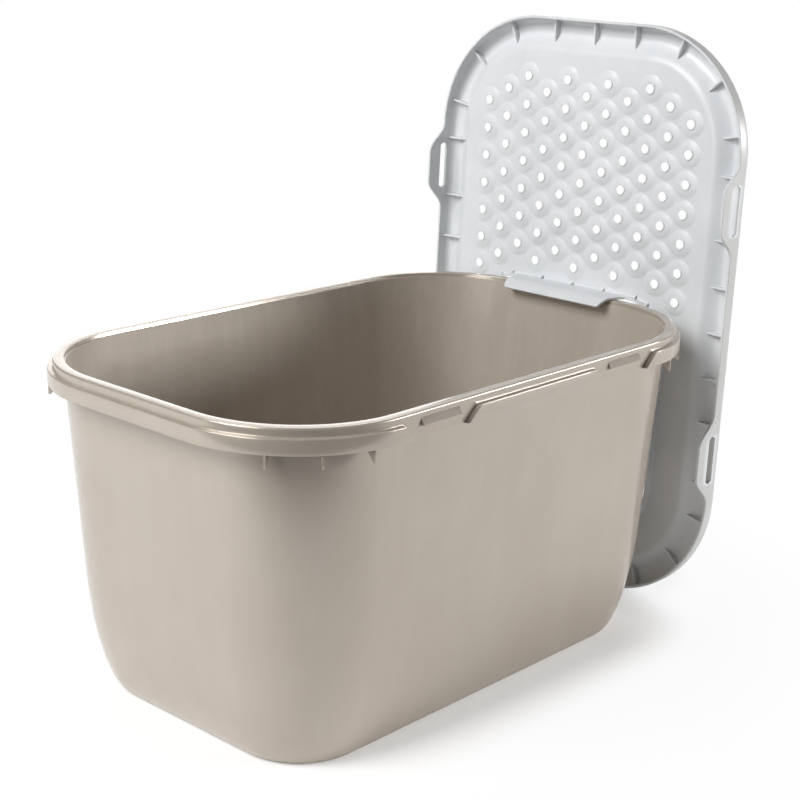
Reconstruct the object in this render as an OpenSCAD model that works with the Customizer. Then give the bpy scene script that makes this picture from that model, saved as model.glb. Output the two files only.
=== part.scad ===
// Top entry litter box: a deep tub, and the lid that hangs by its entry collar on the tub's end.
// Millimetres. The origin is the centre of the tub's base, +X points to the end where the lid
// hangs, -Y to the near long side and +Z up. The lid is drawn lying flat, then stood on end.

/* [Tub] */
// Length over the rim's lower band
rim_l = 585; // [570:1:600]
// Width over the rim's lower band
rim_w = 378; // [370:1:390]
// Height of the rim above the base
tub_h = 310; // [300:1:325]
// Plan corner radius of the rim's lower band
rim_corner_r = 122; // [116:1:126]
// Length of the walls carried down to the floor, before the base edge is rounded
base_l = 501; // [490:1:510]
// Width of the walls carried down to the floor
base_w = 310; // [300:1:316]
// Plan corner radius of the walls at the floor
base_corner_r = 79; // [74:1:90]
// How far the base edge's round draws in
base_edge_in = 22; // [16:1:28]
// How far the base edge's round climbs the wall
base_edge_h = 110; // [80:1:120]

/* [Rim] */
// Distance from the lower band's face in to the wall's outer face, at the top
wall_in = 13; // [12:0.5:14]
// Distance from the lower band's face in to the upper band's face
ledge_w = 4.5; // [4:0.1:5]
// Depth of the ledge under the rim's top
ledge_down = 7.6; // [7:0.1:8.5]
// Depth of the lower band's free edge under the rim's top
band_down = 21; // [20:0.5:23]
// Rounding of the land's outer edge
land_r = 1.6; // [1:0.1:2]
// Width of the step round the inside of the land
step_w = 1; // [0.8:0.1:1.5]
// Depth of that step under the land
step_down = 3.5; // [3:0.1:5]

/* [Latches] */
// Distance of each latch from the middle of its long side
latch_x = 124; // [118:1:128]
// Width of a recess in the lower band, at the ledge
recess_top_w = 92; // [86:1:96]
// Width of a recess at the band's free edge
recess_low_w = 62; // [56:1:70]
// Length of a catch wedge
catch_l = 46; // [40:1:50]
// Height of a catch wedge
catch_h = 6.8; // [6:0.1:7.5]
// How far a catch wedge stands out at its lower edge
catch_out = 3.4; // [2.5:0.1:4]
// Depth of the catch wedges' top edges under the rim's top
catch_down = 5.4; // [5:0.1:6]
// Width of a lid tab where it leaves the skirt
tab_root_w = 91; // [86:1:92]
// Width of a lid tab at its free edge
tab_tip_w = 32; // [28:1:36]
// Depth of a lid tab below the skirt
tab_drop = 21.5; // [20:0.5:24]
// Length of the slot in a tab
slot_l = 50; // [48:1:54]
// How much further the slot goes up than its catch needs
slot_over = 2.6; // [2:0.1:3]

/* [Lid] */
// Depth of the lid's skirt under its top
skirt_h = 18.5; // [17.5:0.5:20]
// Rounding of the lid's top edge
bead_r = 8; // [6:0.5:9]
// Distance from the skirt's face to where the bead starts to fall
bead_in = 14; // [12:0.5:16]
// Distance from the skirt's face to the sunken field
field_in = 36; // [34:1:38]
// Depth of the sunken field under the bead
field_down = 11.5; // [10:0.5:13]

/* [Walk field] */
// Distance between neighbouring drain holes
drain_pitch = 29.3; // [28.8:0.1:29.6]
// Distance of the first drain row from the lid's end
drain_end = 61; // [58:1:66]
// Diameter of the dome pressed round each drain hole
dome_d = 28; // [26:0.5:28.5]
// Height of a dome
dome_h = 2; // [1.6:0.1:2.4]
// Diameter of a drain hole
drain_d = 8.8; // [8:0.1:9.2]

/* [Entry] */
// Width of the entry opening over its collar
entry_w = 240; // [230:1:242]
// Distance of the collar's lower side from the lid's middle
entry_low = 222; // [216:1:224]
// Plan corner radius of the collar's outside
entry_r = 48; // [44:1:50]
// Depth of the collar below the field
collar_h = 7; // [6:0.5:9]
// Depth of the hanging lip below the field
lip_h = 40; // [36:1:46]
// Width of the hanging lip at its free edge
lip_tip_w = 118; // [110:1:124]
// Rounding where the field turns down into the collar
entry_roll = 3; // [2.6:0.1:3.2]

/* [Walls and fits] */
// Wall thickness of both mouldings
wall = 2.5; // [2.2:0.1:2.8]
// Thickness of the stiffening gussets
gusset_t = 2; // [1.6:0.1:2.4]
// Play between the lid's skirt and the tub's upper band
skirt_play = 0.5; // [0.4:0.1:0.8]
// Gap between the hanging lip and the rim it hangs on
hook_gap = 0.3; // [0.2:0.05:0.4]
// Gap between the collar's free edge and the tub's band
stand_gap = 0.5; // [0.3:0.1:1]
// Sideways shift of the hanging lid
lid_shift = 8; // [0:1:20]
// How far the hanging lid leans back from upright, in degrees
lid_lean = 2; // [0:0.5:3]
// Play round a catch wedge in its slot
catch_play = 0.4; // [0.3:0.1:0.6]

/* [Hidden] */

tub_color = [0.73, 0.68, 0.61];
lid_color = [0.83, 0.84, 0.85];

// Steps in a quarter turn of a large outline, and of the entry collar's outline
corner_steps = 12;
entry_steps = 9;
// Steps along a profile's curves
edge_steps = 9;
arc_steps = 5;
slope_steps = 7;
// Handles of the base edge's curve: along the floor, and down the wall
floor_pull = 9;
wall_pull = 70;

// Rim sections below the top
band_in = ledge_w + wall;
ledge_floor = ledge_down + wall;
ledge_edge = 0.8;
rim_gusset_drop = 11;
rim_gusset_in = 0.6;
rim_gusset_tip = 1.6;
rim_gusset_angles = [13.5, 34, 55];
// Overlap that ties a rib or plate into the wall it grows from
root = 1.2;
spill = 1;

// The lid's outline stands inside the tub's lower band by what skirt, play and ledge leave
lid_in = ledge_w - skirt_play - wall;
lid_l = rim_l - 2 * lid_in;
lid_w = rim_w - 2 * lid_in;
lid_corner_r = rim_corner_r - lid_in;

// Closed, the skirt stands on the ledge; the slot then surrounds the catch wedge
slot_h = catch_h + 2 * catch_play + slot_over;
slot_down = skirt_h - ledge_down + catch_down + catch_h / 2 - slot_over / 2;
slot_point = 3;

// Drain rows: even rows hold the half columns, odd rows the whole ones
row_step = drain_pitch / 2;
column_step = drain_pitch * sqrt(3);
first_row_u = lid_l / 2 - drain_end;

// A dome's knee as shares of its slope's run and height, and the flat and low collar round its hole
dome_knee = 0.62;
dome_knee_h = 0.72;
dome_flat_w = 2.6;
dome_top_d = drain_d + 2 * dome_flat_w;
drain_collar_w = 1.5;
drain_collar_h = 0.8;

// The lid stands on its rounded lower end, leans back, and its collar's edge stands off the band
collar_depth = field_down + wall + collar_h;
lid_z = bead_r + (lid_l / 2 - bead_r) * cos(lid_lean) - bead_r * sin(lid_lean);
lid_x = rim_l / 2 + stand_gap + collar_depth * cos(lid_lean) - (tub_h - band_down - lid_z) * tan(lid_lean);

// The collar's upper side passes over the land's outer edge, so its place follows the tub's height
hook_z = tub_h + hook_gap - lid_z - (lid_x - rim_l / 2 + ledge_w) * tan(lid_lean);
collar_top = wall + hook_z * cos(lid_lean);
entry_l = collar_top + entry_low;
entry_mid = (collar_top - entry_low) / 2;
collar_base = 5.2;
lip_root_w = 2 * (entry_w / 2 - entry_r);
collar_gussets = [-95, -80, -40, 0, 40, 80, 95];
collar_gusset_h = 6.5;
collar_gusset_w = 3.6;

// Line between the two panel nodes: high over the collar, low beside its rounded corners
split_play = 1.2;
split_half_w = 2.5 * column_step - (dome_d + split_play) / 2;
split_high = collar_top + collar_base - wall + split_play;
collar_base_r = entry_r + collar_base - wall;
split_past = min(split_half_w - lip_root_w / 2, collar_base_r);
split_low = collar_top - entry_r + sqrt(pow(collar_base_r, 2) - pow(split_past, 2)) + split_play;

// Lid gussets: places along the long sides, the short ends and round the corners
long_gussets = [-154, -92, -46, 0, 46, 92, 154];
short_gussets = [-50, 0, 50];
corner_gussets = [20, 49, 78];
// Closed, the gussets' free edges lie just over the rim's land, then run out on the slope
lid_gusset_play = 0.4;
lid_gusset_down = skirt_h - ledge_down - lid_gusset_play;
lid_gusset_flat = 15;
lid_gusset_reach = 30;

function mix(a, b, t) = a + (b - a) * t;

function bezier(p, t) =
  p[0] * pow(1 - t, 3) + 3 * p[1] * t * pow(1 - t, 2) + 3 * p[2] * t * t * (1 - t) + p[3] * pow(t, 3);

// Rounded rectangle as a list of points, anticlockwise from +X
function outline(half_l, half_w, r, steps) = [
  for (c = [0:3])
    for (i = [0:steps])
      let (
        a = 90 * (c + i / steps),
        sx = (c == 0 || c == 3) ? 1 : -1,
        sy = c < 2 ? 1 : -1
      )
        [sx * (half_l - r) + r * cos(a), sy * (half_w - r) + r * sin(a)]
];

function at_height(points, z) = [for (p = points) [p[0], p[1], z]];

// The tub wall's outer outline at height z, drawn in further by `inset`
function wall_ring(z, inset = 0) =
  let (
    t = z / tub_h,
    half_l = mix(base_l / 2, rim_l / 2 - wall_in, t) - inset,
    half_w = mix(base_w / 2, rim_w / 2 - wall_in, t) - inset,
    r = mix(base_corner_r, rim_corner_r - wall_in, t) - inset
  )
    at_height(outline(half_l, half_w, r, corner_steps), z);

// The rim's outline, `inset` inside the lower band's face and `down` below the top
function rim_ring(inset, down) =
  at_height(
    outline(rim_l / 2 - inset, rim_w / 2 - inset, rim_corner_r - inset, corner_steps),
    tub_h - down
  );

// The lid's outline, `inset` inside the skirt's face
function lid_outline(inset) =
  outline(lid_l / 2 - inset, lid_w / 2 - inset, lid_corner_r - inset, corner_steps);

// The entry's outline, `out` outside the collar's inner face
function entry_outline(out) =
  let (grow = out - wall)
    [for (p = outline(entry_l / 2 + grow, entry_w / 2 + grow, entry_r + grow, entry_steps))
      [p[0] + entry_mid, p[1]]];

// Skin over rings that have equally many points. Outer faces climb from ring to ring.
// A loop joins the last ring to the first; otherwise both ends are capped.
module skin(rings, loop = false) {
  n = len(rings[0]);
  m = len(rings);
  sides = [
    for (k = [0:m - (loop ? 1 : 2)])
      for (i = [0:n - 1])
        let (
          a = k * n + i,
          b = k * n + (i + 1) % n,
          c = ((k + 1) % m) * n + (i + 1) % n,
          d = ((k + 1) % m) * n + i
        )
          each [[a, d, c], [a, c, b]]
  ];
  caps = loop ? [] : [[for (i = [0:n - 1]) i], [for (i = [n - 1:-1:0]) (m - 1) * n + i]];
  polyhedron(points = [for (r = rings) each r], faces = concat(sides, caps));
}

// Upright plate from an outline of [distance outwards, height], square to the direction `angle`
module fin(angle, points, t) {
  rotate([0, 0, angle])
    rotate([90, 0, 0])
      translate([0, 0, -t / 2])
        linear_extrude(t) polygon(points);
}

// Base edge profile as [inset, height], from the floor up to where the wall is straight
base_curve = [[base_edge_in, 0], [base_edge_in - floor_pull, 0], [0, base_edge_h - wall_pull], [0, base_edge_h]];
base_profile = [for (k = [0:edge_steps]) bezier(base_curve, k / edge_steps)];

// The same profile one wall thickness further in, square to the curve
base_inside = [
  for (k = [0:edge_steps])
    let (
      p = base_profile[max(k - 1, 0)],
      q = base_profile[min(k + 1, edge_steps)],
      along = k == 0 ? [-1, 0] : k == edge_steps ? [0, 1] : (q - p) / norm(q - p)
    )
      base_profile[k] + wall * [along[1], -along[0]]
];

module tub_shell() {
  outer = [for (p = base_profile) wall_ring(p[1], p[0])];
  inner = [for (k = [edge_steps:-1:0]) wall_ring(base_inside[k][1], base_inside[k][0])];
  top = [
    wall_ring(tub_h - wall),
    wall_ring(tub_h),
    wall_ring(tub_h, wall - step_w),
    wall_ring(tub_h - step_down, wall - step_w),
    wall_ring(tub_h - step_down, wall),
  ];
  color(tub_color)
    skin(concat(outer, top, inner));
}

// Rim section from the band's free edge up, over the land and back down inside
module rim_section() {
  land_arc = [
    for (k = [0:arc_steps])
      let (a = 90 * k / arc_steps)
        rim_ring(ledge_w + land_r * (1 - cos(a)), land_r * (1 - sin(a)))
  ];
  skin(
    concat(
      [
        rim_ring(0, band_down),
        rim_ring(0, ledge_down + ledge_edge),
        rim_ring(ledge_edge, ledge_down),
        rim_ring(ledge_w, ledge_down),
      ],
      land_arc,
      [
        wall_ring(tub_h),
        wall_ring(tub_h - wall),
        rim_ring(band_in, wall),
        rim_ring(band_in, ledge_floor),
        rim_ring(wall, ledge_floor),
        rim_ring(wall, band_down),
      ]
    ),
    loop = true
  );
}

// Slanted-shouldered prism between two depths behind the band's face, from `high` to `low` below the top
module recess_prism(near, far, high, low, grow) {
  slope = (recess_top_w - recess_low_w) / 2 / (band_down - ledge_down);
  half_high = recess_low_w / 2 + slope * (band_down - high) + grow;
  half_low = recess_low_w / 2 + slope * (band_down - low) + grow;
  translate([0, rim_w / 2 - near, tub_h])
    rotate([90, 0, 0])
      linear_extrude(far - near)
        polygon([[-half_low, -low], [half_low, -low], [half_high, -high], [-half_high, -high]]);
}

// Wedge that the tab's slot drops over, thin at its top edge
module catch_wedge() {
  rotate([90, 0, 90])
    translate([rim_w / 2 - ledge_w, tub_h - catch_down, -catch_l / 2])
      linear_extrude(catch_l)
        polygon([[-root, 0], [0, 0], [catch_out, 1 - catch_h], [catch_out, -catch_h], [-root, -catch_h]]);
}

// Rib from the wall to the band in one corner; its tooth hangs below the band, upright outside
module rim_gusset(angle) {
  drop = band_down + rim_gusset_drop;
  tooth = rim_corner_r - rim_gusset_in;
  centre = [rim_l / 2 - rim_corner_r, rim_w / 2 - rim_corner_r];
  reach = function(down)
    let (
      t = (tub_h - down) / tub_h,
      r = mix(base_corner_r, rim_corner_r - wall_in, t),
      cx = mix(base_l / 2, rim_l / 2 - wall_in, t) - r - centre[0],
      cy = mix(base_w / 2, rim_w / 2 - wall_in, t) - r - centre[1]
    )
      r + cx * cos(angle) + cy * sin(angle);
  top = wall - root;
  band = rim_corner_r - wall + root;
  upper = rim_corner_r - band_in + root;
  ledge = ledge_floor - root;
  translate([centre[0], centre[1], tub_h])
    fin(
      angle,
      [
        [reach(band_down), -band_down],
        [tooth - rim_gusset_tip, -drop],
        [tooth, -drop],
        [tooth, root - band_down],
        [band, root - band_down],
        [band, -ledge],
        [upper, -ledge],
        [upper, -top],
        [reach(top), -top],
      ],
      gusset_t
    );
}

module tub_rim() {
  color(tub_color)
    union() {
      difference() {
        union() {
          rim_section();
          for (s = [0, 1], x = [-latch_x, latch_x])
            rotate([0, 0, 180 * s])
              translate([x, 0, 0])
                recess_prism(root, band_in, ledge_down + root, band_down - root / 2, wall);
        }
        for (s = [0, 1], x = [-latch_x, latch_x])
          rotate([0, 0, 180 * s])
            translate([x, 0, 0])
              recess_prism(-spill, ledge_w, ledge_down - root / 2, band_down + spill, 0);
      }
      for (s = [0, 1], x = [-latch_x, latch_x])
        rotate([0, 0, 180 * s])
          translate([x, 0, 0]) catch_wedge();
      for (mx = [0, 1], my = [0, 1], a = rim_gusset_angles)
        mirror([mx, 0, 0])
          mirror([0, my, 0])
            rim_gusset(90 - a);
    }
}

// Stands the flat lid on its end behind the rim, underside to the tub
module hang() {
  translate([lid_x, lid_shift, lid_z])
    rotate([0, lid_lean, 0])
      rotate([0, 0, 180])
        rotate([0, -90, 0])
          children();
}

// Lid edge line as [inset, depth], `t` under the lid's face: skirt, bead, then the slope to the field
function lid_line(t) = concat(
  [[t, -skirt_h]],
  [for (k = [0:arc_steps])
    let (a = 90 * k / arc_steps)
      [bead_r - (bead_r - t) * cos(a), (bead_r - t) * sin(a) - bead_r]],
  [for (k = [0:slope_steps])
    let (
      s = k / slope_steps,
      run = field_in - bead_in,
      fall = field_down * 90 / run * sin(180 * s) * PI / 180,
      square = [-fall, -1] / norm([fall, 1])
    )
      [bead_in + run * s, -field_down * (1 - cos(180 * s)) / 2] + t * square]
);

// Tab below the skirt with S-shaped shoulders, as [along, depth]
tab_points = let (
  half = [
    for (k = [0:2 * arc_steps])
      let (s = k / (2 * arc_steps))
        [mix(tab_root_w, tab_tip_w, s) / 2, -skirt_h - tab_drop * (1 - cos(180 * s)) / 2]
  ]
)
  concat(
    [[tab_root_w / 2, root - skirt_h]],
    half,
    [for (k = [len(half) - 1:-1:0]) [-half[k][0], half[k][1]]],
    [[-tab_root_w / 2, root - skirt_h]]
  );

// Slot with pointed ends
slot_points = [
  [slot_l / 2, 0],
  [slot_l / 2 - slot_point, slot_h / 2],
  [slot_point - slot_l / 2, slot_h / 2],
  [-slot_l / 2, 0],
  [slot_point - slot_l / 2, -slot_h / 2],
  [slot_l / 2 - slot_point, -slot_h / 2],
];

// Gusset inside the skirt, drawn as [distance outwards from the skirt's face, depth]
module lid_gusset(angle) {
  line = [for (p = lid_line(wall / 2)) if (p[1] > -skirt_h && p[0] <= lid_gusset_reach) [-p[0], p[1]]];
  edge = [[-lid_gusset_flat, -lid_gusset_down], [-wall / 2, -lid_gusset_down]];
  fin(angle, concat(line, edge), gusset_t);
}

module lid_rim() {
  outside = lid_line(0);
  inside = lid_line(wall);
  rings = concat(
    [for (p = outside) at_height(lid_outline(p[0]), p[1])],
    [for (k = [len(inside) - 1:-1:0]) at_height(lid_outline(inside[k][0]), inside[k][1])]
  );
  corner = [lid_l / 2 - lid_corner_r, lid_w / 2 - lid_corner_r];
  color(lid_color)
    hang()
      difference() {
        union() {
          skin(rings, loop = true);
          for (s = [0, 1], x = [-latch_x, latch_x])
            rotate([0, 0, 180 * s])
              translate([x, lid_w / 2, 0])
                rotate([90, 0, 0])
                  linear_extrude(wall) polygon(tab_points);
          for (s = [0, 1], x = long_gussets)
            rotate([0, 0, 180 * s])
              translate([x, lid_w / 2, 0]) lid_gusset(90);
          for (s = [0, 1], y = short_gussets)
            rotate([0, 0, 180 * s])
              translate([lid_l / 2, y, 0]) lid_gusset(0);
          for (mx = [0, 1], my = [0, 1], a = corner_gussets)
            mirror([mx, 0, 0])
              mirror([0, my, 0])
                translate(corner + lid_corner_r * [cos(a), sin(a)]) lid_gusset(a);
        }
        for (s = [0, 1], x = [-latch_x, latch_x])
          rotate([0, 0, 180 * s])
            translate([x, lid_w / 2 + spill, -slot_down])
              rotate([90, 0, 0])
                linear_extrude(wall + 2 * spill) polygon(slot_points);
      }
}

// Panel outline on the walk field's side of the split
module walk_outline() {
  far = lid_l;
  intersection() {
    polygon(lid_outline(field_in));
    polygon([
      [far, -far],
      [far, far],
      [split_low, far],
      [split_low, split_half_w],
      [split_high, split_half_w],
      [split_high, -split_half_w],
      [split_low, -split_half_w],
      [split_low, -far],
    ]);
  }
}

// Drain places, down to the split: beside the entry only the outermost columns go on
drain_places = [
  for (row = [0:floor((first_row_u - split_low) / row_step)])
    let (
      u = first_row_u - row * row_step,
      widest = row == 0 ? 1.5 : row % 2 == 1 ? 2 : 2.5
    )
      for (c = [-widest:1:widest])
        let (v = c * column_step, low = abs(v) < split_half_w ? split_high : split_low)
          if (u - dome_d / 2 > low) [u, v]
];

// A dome's section, from the panel's face down to its flat top round the hole
module dome(grow) {
  foot = dome_d / 2 + grow;
  top = dome_top_d / 2 + grow;
  rotate_extrude($fn = 48)
    polygon([
      [0, root],
      [foot, root],
      [foot, 0],
      [mix(top, foot, dome_knee), -dome_h * dome_knee_h],
      [top, -dome_h],
      [0, -dome_h],
    ]);
}

module lid_walk_field() {
  top = -field_down;
  color(lid_color)
    hang()
      difference() {
        union() {
          translate([0, 0, top - wall])
            linear_extrude(wall) walk_outline();
          for (p = drain_places)
            translate([p[0], p[1], top - wall]) {
              dome(0);
              translate([0, 0, -dome_h - drain_collar_h])
                cylinder(d = drain_d + 2 * drain_collar_w, h = drain_collar_h + root, $fn = 48);
            }
        }
        for (p = drain_places)
          translate([p[0], p[1], top]) {
            dome(-wall / 3);
            translate([0, 0, -wall - dome_h - drain_collar_h - spill])
              cylinder(d = drain_d, h = wall + dome_h + drain_collar_h + 2 * spill, $fn = 48);
          }
      }
}

// Ring that turns the panel down into the collar all round the entry
module collar_ring() {
  top = -field_down;
  low = top - wall;
  roll = [
    for (k = [0:arc_steps])
      let (a = 90 * k / arc_steps)
        [entry_roll * (1 - sin(a)), top - entry_roll * (1 - cos(a))]
  ];
  profile = concat(
    [[wall, low - collar_h], [wall, top - entry_roll], [entry_roll, low], [collar_base, low], [collar_base, top]],
    roll,
    [[0, low - collar_h]]
  );
  skin([for (p = profile) at_height(entry_outline(p[0]), p[1])], loop = true);
}

// Deep lip on the collar's upper side, with S-shaped ends
module hanging_lip() {
  top = -field_down - wall;
  half = [
    for (k = [0:2 * arc_steps])
      let (s = k / (2 * arc_steps))
        [mix(lip_root_w, lip_tip_w, s) / 2, -collar_h - (lip_h - collar_h) * (1 - cos(180 * s)) / 2]
  ];
  points = concat(
    [[lip_root_w / 2, -root]],
    half,
    [for (k = [len(half) - 1:-1:0]) [-half[k][0], half[k][1]]],
    [[-lip_root_w / 2, -root]]
  );
  translate([collar_top, 0, top])
    rotate([90, 0, -90])
      linear_extrude(wall) polygon(points);
}

module lid_entry_collar() {
  low = -field_down - wall;
  color(lid_color)
    hang()
      union() {
        translate([0, 0, low])
          linear_extrude(wall)
            difference() {
              polygon(lid_outline(field_in));
              walk_outline();
              polygon(entry_outline(collar_base));
            }
        collar_ring();
        hanging_lip();
        for (y = collar_gussets)
          let (
            past = abs(y) - lip_root_w / 2,
            fall = past > 0 ? entry_r - sqrt(entry_r * entry_r - past * past) : 0
          )
            translate([collar_top - fall, y, low])
              fin(
                0,
                [
                  [-root, root],
                  [collar_gusset_w, root],
                  [collar_gusset_w, 0],
                  [0, -collar_gusset_h],
                  [-root, -collar_gusset_h],
                ],
                gusset_t
              );
      }
}

tub_shell();
tub_rim();
lid_rim();
lid_walk_field();
lid_entry_collar();
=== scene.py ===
"""Top entry litter box: a glossy deep tub with its lid hung on the rim of the far short end.

Lengths are millimetres in the classes and become metres when a mesh is made. The lid is built
lying flat, with u along it, v across it and its top at height 0, and is then hung on its end.
"""

import logging
import math
from collections.abc import Iterable, Sequence
from dataclasses import dataclass, field
from enum import Enum

import bmesh
import bpy
import numpy as np
from mathutils import Matrix, Vector
from mathutils.geometry import delaunay_2d_cdt

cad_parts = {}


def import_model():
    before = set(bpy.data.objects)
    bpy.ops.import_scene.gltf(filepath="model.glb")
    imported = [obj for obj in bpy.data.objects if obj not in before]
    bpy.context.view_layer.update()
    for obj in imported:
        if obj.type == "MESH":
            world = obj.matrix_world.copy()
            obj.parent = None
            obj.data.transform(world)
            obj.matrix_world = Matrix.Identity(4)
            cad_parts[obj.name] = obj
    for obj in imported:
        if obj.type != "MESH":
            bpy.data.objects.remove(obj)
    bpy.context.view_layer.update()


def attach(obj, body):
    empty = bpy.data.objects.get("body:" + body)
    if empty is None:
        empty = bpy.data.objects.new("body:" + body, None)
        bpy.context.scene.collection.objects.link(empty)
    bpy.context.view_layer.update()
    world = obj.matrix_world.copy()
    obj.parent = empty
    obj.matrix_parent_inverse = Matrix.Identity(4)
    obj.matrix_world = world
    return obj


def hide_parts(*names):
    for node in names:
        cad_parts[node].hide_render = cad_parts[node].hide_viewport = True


MM = 0.001  # one millimetre, in metres
MERGE = 0.02  # points nearer than this are one
SOFT = 0.5  # rounding of a moulded edge
NICK = 0.15  # how far such a rounding's middle stays off the corner
RIB_EDGE = 0.35  # rounding of a rib's edges
NEAR = 1e-5  # tolerance of a triangulation
CORNERS = ((1, 1), (1, -1), (-1, 1), (-1, -1))  # signs of the two directions

Socket = bpy.types.NodeSocket
Material = bpy.types.Material
Object = bpy.types.Object
Mesh = bpy.types.Mesh
Point = tuple[float, float]
Four = tuple[float, float, float, float]  # a colour, or a place x, y, z with a turn about Z

log = logging.getLogger("litter_box")


class Body(Enum):
    """The frame's moving bodies."""

    TUB = "tub"
    LID = "lid"


class Grain(Enum):
    """How fine a moulded surface's grain is, in repeats per metre."""

    POLISHED = 260.0
    ERODED = 1500.0


def linear(code: str) -> Four:
    """Turns a screen colour into the linear colour that shaders use.

    Args:
        code: Six hexadecimal digits.

    Returns:
        Red, green, blue and an alpha of 1.
    """
    parts = [int(code[i : i + 2], 16) / 255 for i in (0, 2, 4)]
    red, green, blue = (p / 12.92 if p <= 0.04045 else ((p + 0.055) / 1.055) ** 2.4 for p in parts)
    return red, green, blue, 1.0


def mix(a: float, b: float, t: float) -> float:
    """Returns the value that lies the share t of the way from a to b."""
    return a + (b - a) * t


def ease(t: float) -> float:
    """Returns t from 0 to 1 with a level start and end."""
    t = np.clip(t, 0.0, 1.0)
    return (1 - np.cos(np.pi * t)) / 2


def arc(cx: float, cy: float, r: float, start: float, end: float, steps: int) -> list[Point]:
    """Lays points along part of a circle.

    Args:
        cx: Centre, first value.
        cy: Centre, second value.
        r: Radius.
        start: First angle in degrees.
        end: Last angle in degrees.
        steps: Number of steps between the two.

    Returns:
        The points, both ends included.
    """
    angles = [math.radians(mix(start, end, k / steps)) for k in range(steps + 1)]
    return [(cx + r * math.cos(a), cy + r * math.sin(a)) for a in angles]


def corner_places(
    cx: float, cy: float, reach: float, angles: Iterable[float], z: float
) -> list[Four]:
    """Lays places in all four corners of a rounded rectangle.

    Args:
        cx: The corners' centres along the length.
        cy: The same along the width.
        reach: Distance of the places from those centres.
        angles: Directions in degrees from the length.
        z: Height.

    Returns:
        The places as x, y, z and a turn about Z that points outwards, in radians.
    """
    places = []
    for sx, sy in CORNERS:
        for angle in angles:
            x = sx * math.cos(math.radians(angle))
            y = sy * math.sin(math.radians(angle))
            places.append((sx * cx + reach * x, sy * cy + reach * y, z, math.atan2(y, x)))
    return places


def link(name: str, data: bpy.types.ID) -> Object:
    """Puts a new object that shows the data into the scene."""
    made = bpy.data.objects.new(name, data)
    bpy.context.scene.collection.objects.link(made)
    return made


# Node trees


class Graph:
    """A node tree under construction. Every node comes in through one method."""

    def __init__(self, tree: bpy.types.NodeTree) -> None:
        """Takes over an empty tree."""
        self.tree = tree
        tree.nodes.clear()

    def add(
        self, kind: str, settings: dict | None = None, inputs: dict | None = None
    ) -> bpy.types.Node:
        """Adds a node.

        Args:
            kind: The node's type.
            settings: Properties, set before any socket.
            inputs: Socket name or number, with a value, a socket or a Term.

        Returns:
            The node.
        """
        node = self.tree.nodes.new(kind)
        for name, value in (settings or {}).items():
            setattr(node, name, value)
        for key, value in (inputs or {}).items():
            if isinstance(value, Term):
                value = value.socket
            if isinstance(value, Socket):
                self.tree.links.new(value, node.inputs[key])
            else:
                node.inputs[key].default_value = value
        return node


class Term:
    """A number inside a shader, so that its maths is written as a Python expression."""

    def __init__(self, graph: Graph, socket: Socket) -> None:
        """Wraps a socket that gives one number."""
        self.graph = graph
        self.socket = socket

    def _math(self, operation: str, *values: "Term | float") -> "Term":
        """Adds a Math node over the given values."""
        node = self.graph.add("ShaderNodeMath", {"operation": operation}, dict(enumerate(values)))
        return Term(self.graph, node.outputs[0])

    def __add__(self, other: "Term | float") -> "Term":
        """Sum."""
        return self._math("ADD", self, other)

    def __sub__(self, other: "Term | float") -> "Term":
        """Difference."""
        return self._math("SUBTRACT", self, other)

    def __rsub__(self, other: "Term | float") -> "Term":
        """Difference from a plain number."""
        return self._math("SUBTRACT", other, self)

    def __mul__(self, other: "Term | float") -> "Term":
        """Product."""
        return self._math("MULTIPLY", self, other)

    def __pow__(self, other: "Term | float") -> "Term":
        """Power."""
        return self._math("POWER", self, other)

    __radd__ = __add__
    __rmul__ = __mul__

    def __abs__(self) -> "Term":
        """Size without its sign."""
        return self._math("ABSOLUTE", self)

    def above(self, least: float) -> "Term":
        """Returns the number, or `least` where that is larger."""
        return self._math("MAXIMUM", self, least)

    def between(self, low: float, high: float) -> "Term":
        """Returns 0 below low and 1 above high, with an eased step between them."""
        node = self.graph.add(
            "ShaderNodeMapRange",
            {"interpolation_type": "SMOOTHSTEP"},
            {"Value": self, "From Min": low, "From Max": high},
        )
        return Term(self.graph, node.outputs[0])


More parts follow.
